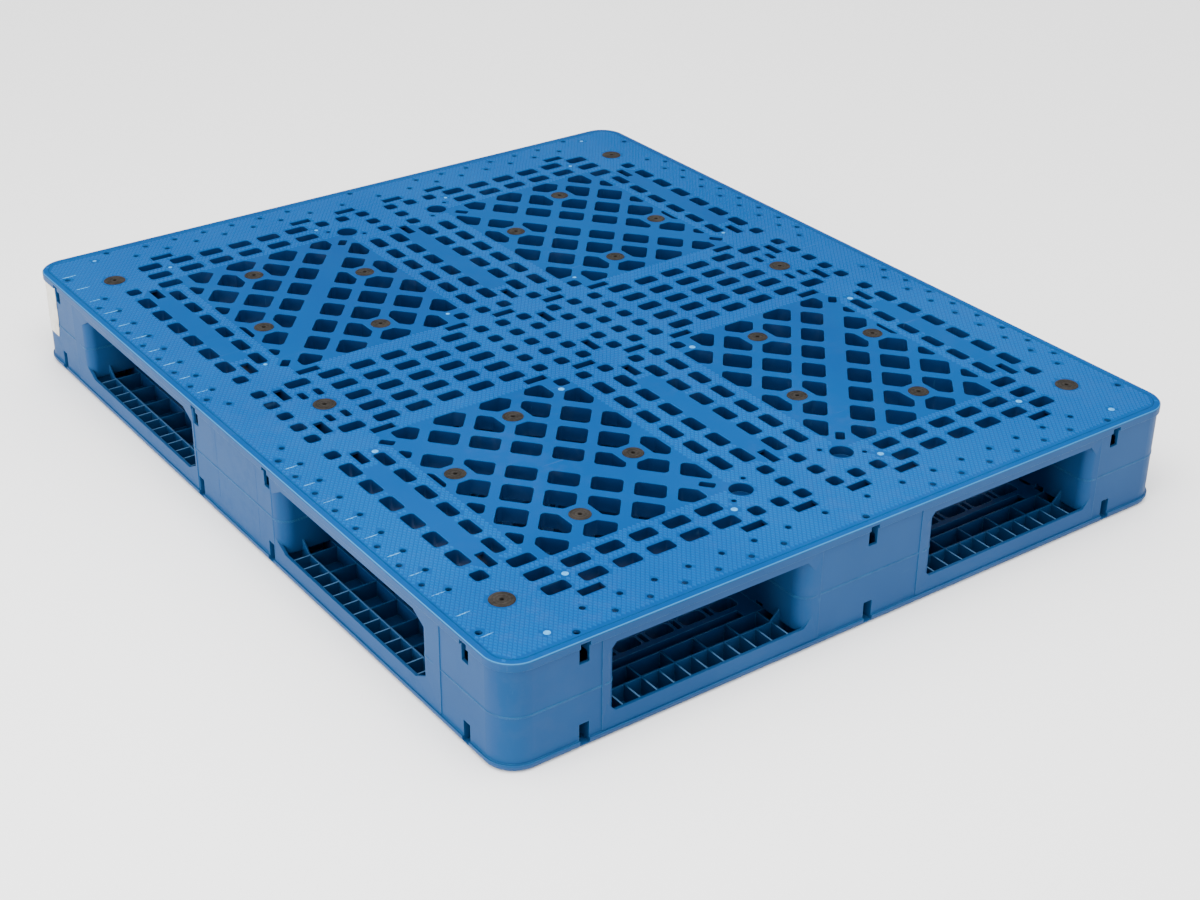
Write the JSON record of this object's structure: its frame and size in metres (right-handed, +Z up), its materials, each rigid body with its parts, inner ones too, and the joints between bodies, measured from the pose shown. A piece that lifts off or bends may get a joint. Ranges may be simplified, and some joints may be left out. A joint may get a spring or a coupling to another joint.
{
  "type": "plastic pallet",
  "caption": "Moulded plastic pallet that forks can enter from any side, with a slotted and lattice deck, hollow blocks, a ribbed base and rubber anti-slip grommets.",
  "frame": {"origin": "on the floor under the middle of the deck", "axes": "+Z up, +X across the short side, +Y along the long side"},
  "size_m": [1.016, 1.2192, 0.1397],
  "materials": {
    "deck_plastic": "fine-textured moulded polyolefin",
    "base_plastic": "moulded polyolefin, smooth",
    "grommet_rubber": "matte, dusty",
    "label_paper": "blank off-white coated paper sticker"
  },
  "bodies": {
    "root": {"top_shell": "deck_plastic", "base_shell": "base_plastic", "corner_label": "label_paper", "grommet_01": "grommet_rubber", "grommet_02": "grommet_rubber", "grommet_03": "grommet_rubber", "grommet_04": "grommet_rubber", "grommet_05": "grommet_rubber", "grommet_06": "grommet_rubber", "grommet_07": "grommet_rubber", "grommet_08": "grommet_rubber", "grommet_09": "grommet_rubber", "grommet_10": "grommet_rubber", "grommet_11": "grommet_rubber", "grommet_12": "grommet_rubber", "grommet_13": "grommet_rubber", "grommet_14": "grommet_rubber", "grommet_15": "grommet_rubber", "grommet_16": "grommet_rubber", "grommet_17": "grommet_rubber", "grommet_18": "grommet_rubber", "grommet_19": "grommet_rubber", "grommet_20": "grommet_rubber", "grommet_21": "grommet_rubber", "grommet_22": "grommet_rubber"}
  },
  "joints": []
}
